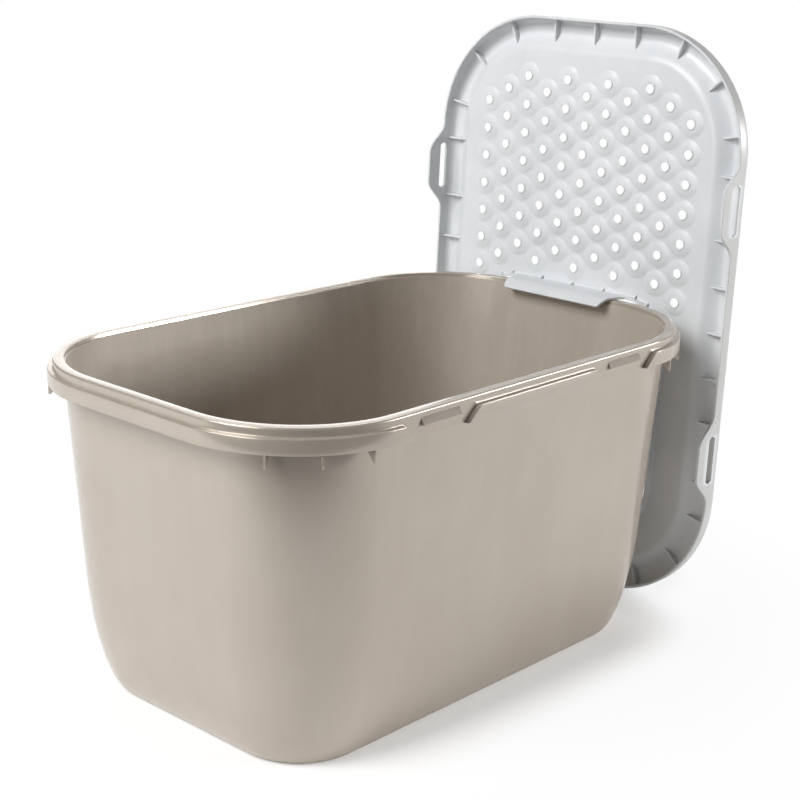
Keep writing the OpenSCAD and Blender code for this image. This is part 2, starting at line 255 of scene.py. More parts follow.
class Shader(Graph):
    """A material's nodes: one Principled surface that reads the object's own coordinates."""

    def __init__(self, name: str) -> None:
        """Starts a material of that name."""
        self.material = bpy.data.materials.new(name)
        self.material.use_nodes = True
        super().__init__(self.material.node_tree)
        self.place = self.add("ShaderNodeTexCoord").outputs["Object"]

    def axes(self) -> tuple[Term, Term, Term]:
        """Returns the three coordinates in metres."""
        split = self.add("ShaderNodeSeparateXYZ", inputs={0: self.place})
        return tuple(Term(self, out) for out in split.outputs)

    def stretched(self, scale: Sequence[float]) -> Socket:
        """Returns the coordinates multiplied by one factor for each axis."""
        both = {0: self.place, 1: tuple(scale)}
        return self.add("ShaderNodeVectorMath", {"operation": "MULTIPLY"}, both).outputs[0]

    def noise(self, scale: float, detail: float = 2.0, at: Socket | None = None) -> Term:
        """Adds noise.

        Args:
            scale: Repeats per metre.
            detail: Number of finer layers.
            at: Coordinates other than the plain ones.

        Returns:
            The noise, about 0 to 1.
        """
        given = {"Vector": at or self.place, "Scale": scale, "Detail": detail, "Roughness": 0.55}
        return Term(self, self.add("ShaderNodeTexNoise", inputs=given).outputs["Fac"])

    def attribute(self, name: str) -> Term:
        """Returns a number that the mesh carries."""
        node = self.add("ShaderNodeAttribute", {"attribute_name": name})
        return Term(self, node.outputs["Fac"])

    def blend(self, share: Term, low: Sequence[float], high: Sequence[float]) -> Socket:
        """Mixes two colours by a share, either of which may be a socket."""
        node = self.add("ShaderNodeMix", {"data_type": "RGBA"}, {0: share, 6: low, 7: high})
        return node.outputs[2]

    def bump(self, height: Term, depth: float, strength: float, over: Socket | None = None) -> Socket:
        """Adds a bump.

        Args:
            height: The height it follows, 0 to 1.
            depth: What that range measures, in metres.
            strength: How strongly it shows.
            over: A normal that it is laid over.

        Returns:
            The normal.
        """
        sockets = {"Strength": strength, "Distance": depth, "Height": height}
        if over:
            sockets["Normal"] = over
        return self.add("ShaderNodeBump", inputs=sockets).outputs[0]

    def close(self, constants: dict, varying: dict) -> Material:
        """Ends the material.

        Args:
            constants: Values of the surface's fixed sockets.
            varying: Sockets or terms for the inputs that vary.

        Returns:
            The material.
        """
        surface = self.add("ShaderNodeBsdfPrincipled", inputs={**constants, **varying})
        self.add("ShaderNodeOutputMaterial", inputs={"Surface": surface.outputs[0]})
        return self.material


# Finishes


@dataclass(frozen=True)
class TubPlastic:
    """Glossy pearly taupe plastic, with the slight waviness of a large moulding.

    Inside, where the mesh's `marked` value is 1, it is duller and marked by faint upright
    scratches and scuffs, and its colour is painted paler all over, which is painted light.
    Patterns that follow the walls have a scale for each axis, in repeats per metre.
    """

    name: str = "made_tub_plastic"
    body: str = "B2A89C"
    cloud: str = "AEA397"
    pale: str = "BBB1A6"
    gloss: float = 0.215
    pearl: float = 0.29
    coat: float = 0.07
    streak_scale: tuple = (52.0, 52.0, 4.0)
    scratch_scale: tuple = (520.0, 520.0, 11.0)
    scuff_scale: tuple = (95.0, 95.0, 42.0)
    grain: Grain = Grain.POLISHED

    def material(self) -> Material:
        """Builds the material."""
        s = Shader(self.name)
        inside = s.attribute("marked")
        clouds = s.noise(9.0, 3.0).between(0.35, 0.68)
        streaks = s.noise(1.0, 3.0, s.stretched(self.streak_scale)).between(0.42, 0.68)
        scratches = s.noise(1.0, 1.0, s.stretched(self.scratch_scale)).between(0.6, 0.72)
        flecks = s.noise(420.0, 1.0).between(0.54, 0.72)
        scuffs = s.noise(1.0, 4.0, s.stretched(self.scuff_scale)).between(0.5, 0.7)
        base = s.blend(clouds, linear(self.body), linear(self.cloud))
        # Inside: scratches and scuffs as wear, plus an even paling of the whole hollow as painted light
        wear_and_painted_light = (scratches + scuffs + 0.5) * inside * 0.3
        marks_and_painted_light = streaks * (inside * 0.3 + 0.12) + wear_and_painted_light + flecks * 0.08
        base = s.blend(marks_and_painted_light, base, linear(self.pale))
        haze = s.noise(30.0, 3.0).between(0.3, 0.7)
        wave = s.bump(s.noise(14.0, 1.0), 0.0003, 0.3)
        grain = s.noise(self.grain.value, 2.0) + scratches * inside * 0.6
        return s.close(
            {"IOR": 1.5, "Specular IOR Level": 0.6, "Coat Roughness": self.coat},
            {
                "Base Color": base,
                "Roughness": self.gloss + haze * 0.03 + flecks * 0.02 + inside * 0.12,
                "Metallic": (1 - inside * 0.5) * self.pearl,
                "Coat Weight": (1 - inside) * 0.22 + clouds * 0.04,
                "Normal": s.bump(grain, 0.00004, 0.04, wave),
            },
        )


@dataclass(frozen=True)
class LidPlastic:
    """Cool light grey satin plastic with a fine eroded grain; painted shade darkens the skirt."""

    name: str = "made_lid_plastic"
    body: str = "DADCDE"
    cloud: str = "D2D5D7"
    pale: str = "E2E3E5"
    # colour of the painted shade on the skirt's outer face
    skirt: str = "B6B6B4"
    gloss: float = 0.31
    grain: Grain = Grain.ERODED

    def material(self) -> Material:
        """Builds the material."""
        s = Shader(self.name)
        clouds = s.noise(11.0, 3.0).between(0.36, 0.66)
        flecks = s.noise(700.0, 1.0).between(0.5, 0.72)
        base = s.blend(clouds, linear(self.body), linear(self.cloud))
        base = s.blend(flecks * 0.25, base, linear(self.pale))
        # Painted shade: the skirt's outer face is darkened towards the skirt colour, unevenly by the
        # clouds
        painted_skirt_shade = s.attribute("marked") * (clouds * 0.2 + 0.8)
        base = s.blend(painted_skirt_shade, base, linear(self.skirt))
        wave = s.bump(s.noise(16.0, 1.0), 0.0004, 0.25)
        return s.close(
            {"IOR": 1.49, "Specular IOR Level": 0.5},
            {
                "Base Color": base,
                "Roughness": self.gloss + clouds * 0.06,
                "Normal": s.bump(s.noise(self.grain.value, 2.0), 0.00006, 0.25, wave),
            },
        )


# Meshes


@dataclass
class Shape:
    """Points and faces in millimetres, gathered before they become a mesh.

    The points in the slice `marked` are told apart from the rest in the finished mesh.
    """

    points: list = field(default_factory=list)
    faces: list = field(default_factory=list)
    marked: slice = field(default_factory=lambda: slice(0))

    def extend(self, points: Iterable, faces: Iterable) -> None:
        """Adds points, and faces that count from the first of them."""
        start = len(self.points)
        self.points.extend(tuple(float(c) for c in p) for p in points)
        self.faces.extend(tuple(start + i for i in f) for f in faces)

    def loft(self, rings: Sequence[np.ndarray]) -> None:
        """Skins rings of equally many points, in order."""
        n = len(rings[0])
        faces = []
        for k in range(len(rings) - 1):
            for i in range(n):
                j = (i + 1) % n
                faces.append((k * n + i, k * n + j, (k + 1) * n + j, (k + 1) * n + i))
        self.extend([p for ring in rings for p in ring], faces)

    def cap(self, ring: np.ndarray) -> None:
        """Closes a ring with one face."""
        self.extend(ring, [range(len(ring))])

    def prism(self, outline: Sequence[Point], thickness: float) -> None:
        """Adds a plate in the XZ plane, centred on it, from an outline of (x, z)."""
        n = len(outline)
        near = [(x, -thickness / 2, z) for x, z in outline]
        far = [(x, thickness / 2, z) for x, z in outline]
        sides = [(i, (i + 1) % n, n + (i + 1) % n, n + i) for i in range(n)]
        self.extend(near + far, [range(n), range(2 * n - 1, n - 1, -1), *sides])


class Piece:
    """A mesh object on its way to being one finished piece."""

    def __init__(self, name: str) -> None:
        """Starts an empty mesh of that name, kept in millimetres until it is placed."""
        self.name = name
        self.bm = bmesh.new()
        self.mark = self.bm.verts.layers.float.new("marked")

    def take(self, shape: Shape, matrix: Matrix | None = None) -> None:
        """Adds a shape, moved by a matrix if one is given."""
        verts = [self.bm.verts.new(matrix @ Vector(p) if matrix else p) for p in shape.points]
        for vert in verts[shape.marked]:
            vert[self.mark] = 1.0
        for face in shape.faces:
            corners = [verts[i] for i in face]
            if len(set(corners)) > 2:
                self.bm.faces.new(corners)

    def take_mesh(self, mesh: Mesh) -> None:
        """Adds a mesh that is in millimetres."""
        self.bm.from_mesh(mesh)

    def weld(self) -> None:
        """Merges doubled points, drops empty faces and turns the normals outwards."""
        bmesh.ops.remove_doubles(self.bm, verts=self.bm.verts, dist=MERGE)
        bmesh.ops.dissolve_degenerate(self.bm, dist=MERGE / 10, edges=self.bm.edges)
        bmesh.ops.recalc_face_normals(self.bm, faces=self.bm.faces)

    def chamfer(self, width: float, steps: int = 2, least: float = 40.0) -> None:
        """Rounds the edges that turn by more than `least` degrees."""
        turn = math.radians(least)
        edges = [e for e in self.bm.edges if len(e.link_faces) == 2 and e.calc_face_angle(0) > turn]
        bmesh.ops.bevel(
            self.bm,
            geom=edges,
            offset=width,
            segments=steps,
            profile=0.5,
            affect="EDGES",
            clamp_overlap=True,
        )

    def object(self, sharp: float = 32.0, matrix: Matrix | None = None, scale: float = MM) -> Object:
        """Makes the object.

        Args:
            sharp: Edges that turn by more degrees than this are drawn sharp.
            matrix: Moves the mesh, in millimetres, before it is scaled.
            scale: Metres for one unit of the mesh.

        Returns:
            The object, at the origin, with its place in its mesh.
        """
        if matrix:
            bmesh.ops.transform(self.bm, matrix=matrix, verts=self.bm.verts)
        bmesh.ops.scale(self.bm, vec=(scale,) * 3, verts=self.bm.verts)
        mesh = bpy.data.meshes.new(self.name)
        self.bm.to_mesh(mesh)
        self.bm.free()
        mesh.shade_smooth()
        mesh.set_sharp_from_angle(angle=math.radians(sharp))
        return link(self.name, mesh)


def rib(outline: Sequence[Point], thickness: float) -> Piece:
    """Makes one rib, in millimetres, from its outline in the XZ plane."""
    shape = Shape()
    shape.prism(outline, thickness)
    piece = Piece("rib")
    piece.take(shape)
    piece.weld()
    piece.chamfer(RIB_EDGE)
    return piece


def drop(obj: Object) -> None:
    """Deletes an object that only helped to build another."""
    mesh = obj.data
    bpy.data.objects.remove(obj)
    bpy.data.meshes.remove(mesh)


def plain(obj: Object) -> Mesh:
    """Returns a plain mesh of an object with its modifiers worked out, and removes them."""
    graph = bpy.context.evaluated_depsgraph_get()
    mesh = bpy.data.meshes.new_from_object(obj.evaluated_get(graph))
    obj.modifiers.clear()
    return mesh


def scatter(name: str, places: Sequence[Four], part: Piece, material: Material) -> Mesh:
    """Repeats a part at given places through Geometry Nodes.

    Args:
        name: Name of the node group.
        places: Points as x, y, z in millimetres and a turn about Z in radians.
        part: The part to repeat, in millimetres.
        material: Its material.

    Returns:
        A plain mesh of all the copies, in millimetres.
    """
    model = part.object(scale=1.0)
    points = bpy.data.meshes.new(name)
    points.from_pydata([p[:3] for p in places], [], [])
    turns = points.attributes.new("turn", "FLOAT", "POINT")
    turns.data.foreach_set("value", [p[3] for p in places])
    host = link(name, points)

    tree = bpy.data.node_groups.new(name, "GeometryNodeTree")
    graph = Graph(tree)
    for label, kind in (("Places", "Geometry"), ("Part", "Object"), ("Finish", "Material")):
        tree.interface.new_socket(label, in_out="INPUT", socket_type=f"NodeSocket{kind}")
    tree.interface.new_socket("Copies", in_out="OUTPUT", socket_type="NodeSocketGeometry")
    given = graph.add("NodeGroupInput").outputs
    shape = graph.add("GeometryNodeObjectInfo", inputs={"Object": given["Part"]})
    turn = graph.add("GeometryNodeInputNamedAttribute", {"data_type": "FLOAT"}, {"Name": "turn"})
    euler = graph.add("ShaderNodeCombineXYZ", inputs={"Z": turn.outputs["Attribute"]})
    spin = graph.add("FunctionNodeEulerToRotation", inputs={0: euler.outputs[0]})
    copies = graph.add(
        "GeometryNodeInstanceOnPoints",
        inputs={
            "Points": given["Places"],
            "Instance": shape.outputs["Geometry"],
            "Rotation": spin.outputs[0],
        },
    )
    real = graph.add("GeometryNodeRealizeInstances", inputs={0: copies.outputs[0]})
    done = graph.add("GeometryNodeSetMaterial", inputs={0: real.outputs[0], "Material": given["Finish"]})
    graph.add("NodeGroupOutput", inputs={0: done.outputs[0]})

    modifier = host.modifiers.new(name, "NODES")
    modifier.node_group = tree
    wanted = {"Part": model, "Finish": material}
    for item in tree.interface.items_tree:
        if item.name in wanted:
            modifier[item.identifier] = wanted[item.name]
    mesh = plain(host)
    drop(host)
    drop(model)
    return mesh


def finish_piece(
    obj: Object, material: Material, body: Body, replaced: Sequence[str] = ()
) -> None:
    """Gives a piece its material and body.

    Args:
        obj: The piece.
        material: Its only material, whose name ends in the record's slot after "made_".
        body: The body it rides on.
        replaced: CAD nodes that it stands for.
    """
    obj.data.materials.clear()
    obj.data.materials.append(material)
    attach(obj, body.value)
    if replaced:
        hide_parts(*replaced)
    log.info("%s: %d faces on %s", obj.name, len(obj.data.polygons), body.value)


class Round:
    """Stations round a rounded rectangle, through which any ring of it can be laid.

    The second half repeats the first, turned by 180 degrees. A station is the signs of its
    corner's centre, the direction from that centre, its distance x along a long side, how far
    it slants with depth, and how deep in a recess it lies, from 0 to 1.
    """

    def __init__(
        self,
        straight: float,
        radius: float,
        corner_steps: int,
        long_stops: Sequence[tuple[float, float, float]],
        short_stops: Sequence[float],
    ) -> None:
        """Lays out the stations.

        Args:
            straight: Half the straight length of a long side.
            radius: Corner radius, used for the length along the corners.
            corner_steps: Steps in each corner.
            long_stops: Stations (x, slant, recess) along the first long side, from high x to low.
            short_stops: Shares of half a short side's straight length, rising, without 0 and 1.
        """
        rows = [(1, f, 1, 0, 0, 0, 0, 0) for f in (0.0, *short_stops)]
        for c, sign in ((0, 1), (1, -1)):
            for k in range(corner_steps + 1):
                a = math.pi / 2 * (c + k / corner_steps)
                run = sign * straight + radius * (math.pi / 2 - a)
                rows.append((sign, 1, math.cos(a), math.sin(a), 0, 0, 0, run))
            if c == 0:
                rows += [(0, 1, 0, 1, x, slant, recess, x) for x, slant, recess in long_stops]
        rows += [(-1, f, -1, 0, 0, 0, 0, 0) for f in reversed(short_stops)]
        half = np.array(rows, dtype=float)
        other = half * np.array([-1, -1, -1, -1, -1, -1, 1, 1])
        columns = np.vstack([half, other]).T
        self.ax, self.ay, self.ca, self.sa, self.x, self.slant, self.recess, self.run = columns

    def ring(self, half_l: float, half_w: float, r: float, z: float, slide: float = 0.0) -> np.ndarray:
        """Lays a ring.

        Args:
            half_l: Half the length, one number or one for each station.
            half_w: Half the width.
            r: Corner radius.
            z: Height.
            slide: How far slanting stations have slid.

        Returns:
            The ring's points.
        """
        x = self.ax * (half_l - r) + self.ca * r + self.x + self.slant * slide
        y = self.ay * (half_w - r) + self.sa * r
        return np.column_stack([x, y, np.broadcast_to(z, x.shape)])


# The tub


@dataclass
class Tub:
    """The tub: walls carried down to a deeply rounded base, and a stepped rim with latches.

    Downward sizes of the rim count from the land's top, and insets from the lower band's face.
    Steps, stops, shares and mids only place the mesh's points.
    """

    rim_l: float = 585.0
    rim_w: float = 378.0
    height: float = 310.0
    rim_r: float = 122.0
    base_l: float = 501.0
    base_w: float = 310.0
    base_r: float = 79.0
    base_edge: tuple = ((22.0, 0.0), (13.0, 0.0), (0.0, 40.0), (0.0, 110.0))
    wall_in: float = 13.0
    wall: float = 2.5
    ledge_w: float = 4.5
    ledge_down: float = 7.6
    ledge_edge: float = 0.8
    ledge_root: float = 0.7
    band_down: float = 21.0
    band_foot: float = 0.6
    band_heel: float = 0.4
    band_mid: float = 14.0
    under_band: float = 4.0
    land_r: float = 1.6
    land_fillet: float = 0.8
    land_mid: float = 3.2
    upper_band: float = 4.0
    step_w: float = 1.0
    step_down: float = 3.5
    step_root: tuple = (0.4, 0.1)
    step_edge: tuple = (0.25, 0.3)
    wall_stops: tuple = (150.0, 200.0, 250.0, 290.0)
    latch_x: float = 124.0
    recess_top: float = 46.0
    recess_low: float = 31.0
    shoulder: float = 2.2
    catch_l: float = 46.0
    catch_h: float = 6.8
    catch_out: float = 3.4
    catch_down: float = 5.4
    catch_edge: float = 0.5
    catch_root: float = 1.0
    catch_lip: float = 1.0
    gusset_angles: tuple = (13.5, 34.0, 55.0)
    gusset_t: float = 2.0
    gusset_drop: float = 11.0
    gusset_in: float = 0.6
    gusset_tip: float = 1.6
    gusset_root: float = 1.0
    corner_steps: int = 26
    base_steps: int = 16
    recess_shares: tuple = (0.0, 0.12, 0.3, 0.5, 0.7, 0.88, 1.0)
    recess_stops: tuple = (23.0, 12.0, 0.0, -12.0, -23.0)
    short_stops: tuple = (0.33, 0.67)
    finish: TubPlastic = TubPlastic()

    def __post_init__(self) -> None:
        """Lays out the stations and makes the material."""
        slope = (self.recess_top - self.recess_low) / (self.band_down - self.ledge_down)
        middle = self.latch_x / 2
        stops = [(x, 0.0, 0.0) for x in np.linspace(-middle, middle, 9)]
        for centre in (self.latch_x, -self.latch_x):
            stops += [(centre + d, 0.0, 1.0) for d in self.recess_stops]
            for sign in (1, -1):
                for share in self.recess_shares:
                    away = sign * (self.recess_top - self.shoulder * share)
                    stops.append((centre + away, -sign * slope, float(ease(share))))
        stops.sort(key=lambda stop: -stop[0])
        straight = self.rim_l / 2 - self.rim_r
        self.round = Round(straight, self.rim_r, self.corner_steps, stops, self.short_stops)
        self.material = self.finish.material()

    def wall_ring(self, z: float, inset: float = 0.0, slide: float = 0.0) -> np.ndarray:
        """Returns the wall's outer ring at a height, drawn in by `inset`."""
        t = z / self.height
        half_l = mix(self.base_l / 2, self.rim_l / 2 - self.wall_in, t) - inset
        half_w = mix(self.base_w / 2, self.rim_w / 2 - self.wall_in, t) - inset
        r = mix(self.base_r, self.rim_r - self.wall_in, t) - inset
        return self.round.ring(half_l, half_w, r, z, slide)

    def rim_ring(self, inset: float, down: float, sunk: float) -> np.ndarray:
        """Returns a ring of the rim.

        Args:
            inset: Distance in from the lower band's face.
            down: Depth below the top.
            sunk: The inset inside a recess.

        Returns:
            The ring's points.
        """
        inset = mix(inset, sunk, self.round.recess)
        slide = np.clip(down, self.ledge_down, self.band_down) - self.ledge_down
        half_l, half_w = self.rim_l / 2 - inset, self.rim_w / 2 - inset
        return self.round.ring(half_l, half_w, self.rim_r - inset, self.height - down, slide)

    def base_line(self, offset: float) -> list[Point]:
        """Returns the base edge as (inset, height), moved `offset` square to the curve."""
        a, b, c, d = np.array(self.base_edge)
        line = []
        for k in range(self.base_steps + 1):
            t = k / self.base_steps
            s = 1 - t
            at = a * s**3 + 3 * b * t * s**2 + 3 * c * t**2 * s + d * t**3
            go = (b - a) * s**2 + 2 * (c - b) * t * s + (d - c) * t**2
            go = go / np.linalg.norm(go)
            line.append((at[0] + offset * go[1], at[1] - offset * go[0]))
        return line

    def wall_rings(self) -> list[np.ndarray]:
        """Returns the rings outside the wall, from the base up to the land's underside."""
        slide = self.band_down - self.ledge_down
        stops = (*self.wall_stops[:-1], self.height - self.band_down - self.under_band)
        rings = [self.wall_ring(z, inset, slide) for inset, z in self.base_line(0.0)]
        rings += [self.wall_ring(z, 0.0, slide) for z in stops]
        floor = self.ledge_down + self.wall
        for down in (self.band_down, self.band_mid, floor, self.wall + self.land_fillet):
            slid = max(down - self.ledge_down, 0.0)
            rings.append(self.wall_ring(self.height - down, 0.0, slid))
        return [*rings, self.wall_ring(self.height - self.wall, -self.land_fillet)]

    def rim_rings(self) -> list[np.ndarray]:
        """Returns the rings of the bands: down inside them, and up their faces to the land."""
        band_in = self.ledge_w + self.wall
        floor = self.ledge_down + self.wall
        low = self.band_down
        inner = [
            (band_in + SOFT, self.wall),
            (band_in, self.wall + SOFT),
            (band_in, floor),
            (self.wall, floor),
            (self.wall, low - SOFT),
            (self.wall - self.band_heel, low),
        ]
        rings = [self.rim_ring(i, d, max(i, band_in)) for i, d in inner]
        foot, edge, root = self.band_foot, self.ledge_edge, self.ledge_root
        rings.append(self.rim_ring(foot, low, self.ledge_w + SOFT))
        face = [(NICK, low - NICK), (0.0, low - foot), (0.0, self.band_mid)]
        face += arc(edge, self.ledge_down + edge, edge, 180, 270, 4)
        face += arc(self.ledge_w - root, self.ledge_down - root, root, 90, 0, 3)
        rings += [self.rim_ring(i, d, self.ledge_w) for i, d in face]
        land = [(self.ledge_w, self.upper_band)]
        land += arc(self.ledge_w + self.land_r, self.land_r, self.land_r, 180, 270, 5)
        return rings + [self.rim_ring(i, d, i) for i, d in land]

    def step_rings(self) -> list[np.ndarray]:
        """Returns the rings from the middle of the land down to the step inside it."""
        lip = self.wall - self.step_w
        root, nick = self.step_root
        line = [
            (-self.land_mid, 0.0),
            (lip - SOFT, 0.0),
            (lip - NICK, NICK),
            (lip, SOFT),
            (lip, self.step_down - root),
            (lip + nick, self.step_down - nick),
            (self.wall - self.step_edge[0], self.step_down),
        ]
        return [self.wall_ring(self.height - down, inset) for inset, down in line]

    def inner_rings(self) -> list[np.ndarray]:
        """Returns the rings of the hollow, from the rim down to the base."""
        top = self.height - self.step_down - self.step_edge[1]
        stops = (top, *reversed(self.wall_stops))
        rings = [self.wall_ring(z, self.wall) for z in stops]
        base = reversed(self.base_line(self.wall))
        return rings + [self.wall_ring(z, inset) for inset, z in base]

    def moulding(self) -> Object:
        """Builds walls, base and rim as one skin."""
        shape = Shape()
        rings = self.wall_rings() + self.rim_rings() + self.step_rings()
        inside = self.inner_rings()
        shape.cap(rings[0])
        shape.loft(rings + inside)
        shape.cap(inside[-1])
        # The hollow is flagged for the material's wear and its painted light.
        shape.marked = slice(-(len(inside) + 1) * len(inside[0]), None)
        piece = Piece("tub_moulding")
        piece.take(shape)
        piece.weld()
        return piece.object()

    def catches(self) -> Object:
        """Builds the wedges that the lid's tabs snap over."""
        outline = [
            (-self.catch_root, 0.0),
            (0.0, 0.0),
            (self.catch_out, self.catch_lip - self.catch_h),
            (self.catch_out, -self.catch_h),
            (-self.catch_root, -self.catch_h),
        ]
        shape = Shape()
        shape.prism(outline, self.catch_l)
        piece = Piece("tub_catches")
        face = self.rim_w / 2 - self.ledge_w
        for sx, sy in CORNERS:
            at = (sx * self.latch_x, sy * face, self.height - self.catch_down)
            turn = Matrix.Rotation(sy * math.pi / 2, 4, "Z")
            piece.take(shape, Matrix.Translation(at) @ turn)
        piece.weld()
        piece.chamfer(self.catch_edge)
        return piece.object(sharp=12.0)

    def gussets(self) -> Object:
        """Builds the ribs under the band in the tub's corners."""
        root = self.gusset_root
        wall_r = self.rim_r - self.wall_in
        foot = wall_r - self.band_down * (wall_r - self.base_r) / self.height
        tooth = self.rim_r - self.gusset_in
        band = self.rim_r - self.wall + root
        ledge = band - self.ledge_w
        low = -self.band_down
        floor = root - self.ledge_down - self.wall
        outline = [
            (foot - root, low),
            (tooth - self.gusset_tip, low - self.gusset_drop),
            (tooth, low - self.gusset_drop),
            (tooth, low + root),
            (band, low + root),
            (band, floor),
            (ledge, floor),
            (ledge, root - self.wall),
            (wall_r - root, root - self.wall),
        ]
        cx, cy = self.rim_l / 2 - self.rim_r, self.rim_w / 2 - self.rim_r
        angles = [90 - angle for angle in self.gusset_angles]
        places = corner_places(cx, cy, 0.0, angles, self.height)
        part = rib(outline, self.gusset_t)
        piece = Piece("tub_gussets")
        piece.take_mesh(scatter("rim_ribs", places, part, self.material))
        return piece.object()

    def build(self) -> None:
        """Builds and dresses the tub's pieces."""
        finish_piece(self.moulding(), self.material, Body.TUB, ("tub_shell", "tub_rim"))
        finish_piece(self.catches(), self.material, Body.TUB)
        finish_piece(self.gussets(), self.material, Body.TUB)


# The lid


@dataclass
class Lid:
    """The lid: a beaded rim and skirt, a sunken field of drain domes and the entry's collar.

    Downward sizes count from the bead's top, and insets from the skirt's face. Row halves are
    half the widths, in columns, of the first, the odd and the even rows of drains.
    Steps, stops, shares and middles only place the mesh's points.
    """

    length: float = 582.0
    width: float = 375.0
    corner_r: float = 120.5
    wall: float = 2.5
    skirt_h: float = 18.5
    bead_r: float = 8.0
    bead_in: float = 14.0
    field_in: float = 36.0
    field_down: float = 11.5
    latch_x: float = 124.0
    tab_root: float = 45.5
    tab_tip: float = 16.0
    tab_drop: float = 21.5
    slot_l: float = 50.0
    slot_h: float = 10.2
    slot_down: float = 18.4
    slot_point: float = 3.0
    pitch: float = 29.3
    drain_end: float = 61.0
    row_halves: tuple = (1.5, 2.0, 2.5)
    dome_r: float = 14.0
    dome_h: float = 2.0
    dome_curve: float = 1.5
    dome_edge: float = 0.3
    drain_r: float = 4.5
    drain_flare: float = 0.9
    drain_collar_w: float = 1.5
    drain_collar_h: float = 0.8
    drain_soft: float = 0.3
    dome_foot: tuple = (0.2, 0.4)
    entry_w: float = 240.0
    entry_low: float = 222.0
    entry_r: float = 48.0
    entry_roll: float = 3.0
    entry_flat: float = 0.8
    entry_taper: float = 4.0
    collar_h: float = 7.0
    collar_fillet: tuple = ((2.2, 0.0), (1.2, 0.0), (0.6, 0.15), (0.15, 0.6), (0.0, 1.2))
    lip_h: float = 40.0
    lip_tip: float = 59.0
    lip_bend: float = 23.5
    lip_curve: float = 18.0
    lip_edge: float = 0.4
    lip_shares: tuple = (0.4, 0.55, 0.64, 0.73, 0.82, 0.91)
    hook_gap: float = 0.3
    stand_gap: float = 0.5
    shift: float = 8.0
    lean: float = 2.0
    gusset_t: float = 2.0
    gusset_down: float = 10.5
    gusset_flat: float = 15.0
    gusset_reach: float = 27.5
    long_gussets: tuple = (-154.0, -92.0, -46.0, 0.0, 46.0, 92.0, 154.0)
    short_gussets: tuple = (-50.0, 0.0, 50.0)
    corner_gussets: tuple = (20.0, 49.0, 78.0)
    collar_gussets: tuple = (-95.0, -80.0, -40.0, 0.0, 40.0, 80.0, 95.0)
    collar_base: float = 5.2
    collar_gusset_w: float = 3.6
    collar_gusset_h: float = 6.5
    split_play: float = 1.2
    dome_segments: int = 32
    dome_steps: int = 8
    bead_steps: int = 8
    slope_steps: int = 16
    corner_steps: int = 26
    entry_steps: int = 14
    lip_steps: int = 13
    tab_steps: int = 12
    tab_middle: float = 11.0
    middle: float = 66.0
    short_stops: tuple = (0.33, 0.67)
    skirt_shares: tuple = (0.35, 0.7)
    finish: LidPlastic = LidPlastic()
    tub: Tub = field(default_factory=Tub)

    def __post_init__(self) -> None:
        """Hangs the lid, lays out its stations and makes the material."""
        self.hang()
        straight = self.length / 2 - self.corner_r
        stops = {round(x, 3) for x in np.linspace(-self.middle, self.middle, 7)}
        for centre in (self.latch_x, -self.latch_x):
            stops |= {centre - self.tab_middle, centre, centre + self.tab_middle}
            for k in range(self.tab_steps + 1):
                away = mix(self.tab_root, self.tab_tip, k / self.tab_steps)
                stops |= {round(centre - away, 3), round(centre + away, 3)}
        kept = sorted((x for x in stops if abs(x) < straight - 1), reverse=True)
        long_stops = [(x, 0.0, 0.0) for x in kept]
        self.round = Round(straight, self.corner_r, self.corner_steps, long_stops, self.short_stops)
        self.material = self.finish.material()

    def hang(self) -> None:
        """Works out where the lid hangs and how high its entry reaches, from the tub's rim."""
        tub = self.tub
        lean = math.radians(self.lean)
        depth = self.field_down + self.wall + self.collar_h
        reach = self.length / 2 - self.bead_r
        self.hang_z = self.bead_r + reach * math.cos(lean) - self.bead_r * math.sin(lean)
        band_z = tub.height - tub.band_down - self.hang_z
        face = tub.rim_l / 2 + self.stand_gap
        self.hang_x = face + depth * math.cos(lean) - band_z * math.tan(lean)
        hook = tub.height + self.hook_gap - self.hang_z
        hook -= (self.hang_x - tub.rim_l / 2 + tub.ledge_w) * math.tan(lean)
        self.collar_top = self.wall + hook * math.cos(lean)
        self.entry_l = self.collar_top + self.entry_low
        self.entry_mid = (self.collar_top - self.entry_low) / 2

    @property
    def matrix(self) -> Matrix:
        """Stands the flat lid on its end behind the tub, underside to the tub."""
        return (
            Matrix.Translation((self.hang_x, self.shift, self.hang_z))
            @ Matrix.Rotation(math.radians(self.lean), 4, "Y")
            @ Matrix.Rotation(math.pi, 4, "Z")
            @ Matrix.Rotation(-math.pi / 2, 4, "Y")
        )

    def edge_ring(self, inset: float, z: float) -> np.ndarray:
        """Returns a ring of the lid, `inset` inside the skirt's face."""
        half_l, half_w = self.length / 2 - inset, self.width / 2 - inset
        return self.round.ring(half_l, half_w, self.corner_r - inset, z)

    def edge_line(self, t: float) -> list[Point]:
        """Returns the bead and slope as (inset, height), `t` under the lid's face."""
        line = arc(self.bead_r, -self.bead_r, self.bead_r - t, 180, 90, self.bead_steps)
        run = self.field_in - self.bead_in
        for k in range(self.slope_steps + 1):
            s = k / self.slope_steps
            fall = self.field_down * math.pi / 2 / run * math.sin(math.pi * s)
            size = math.hypot(fall, 1)
            sunk = self.field_down * (1 - math.cos(math.pi * s)) / 2
            line.append((self.bead_in + run * s - t * fall / size, -sunk - t / size))
        return line

    def skirt_depth(self) -> np.ndarray:
        """Returns how deep the skirt reaches at each station, tabs included."""
        away = np.abs(np.abs(self.round.run) - self.latch_x)
        share = (self.tab_root - away) / (self.tab_root - self.tab_tip)
        return self.skirt_h + self.tab_drop * ease(share)

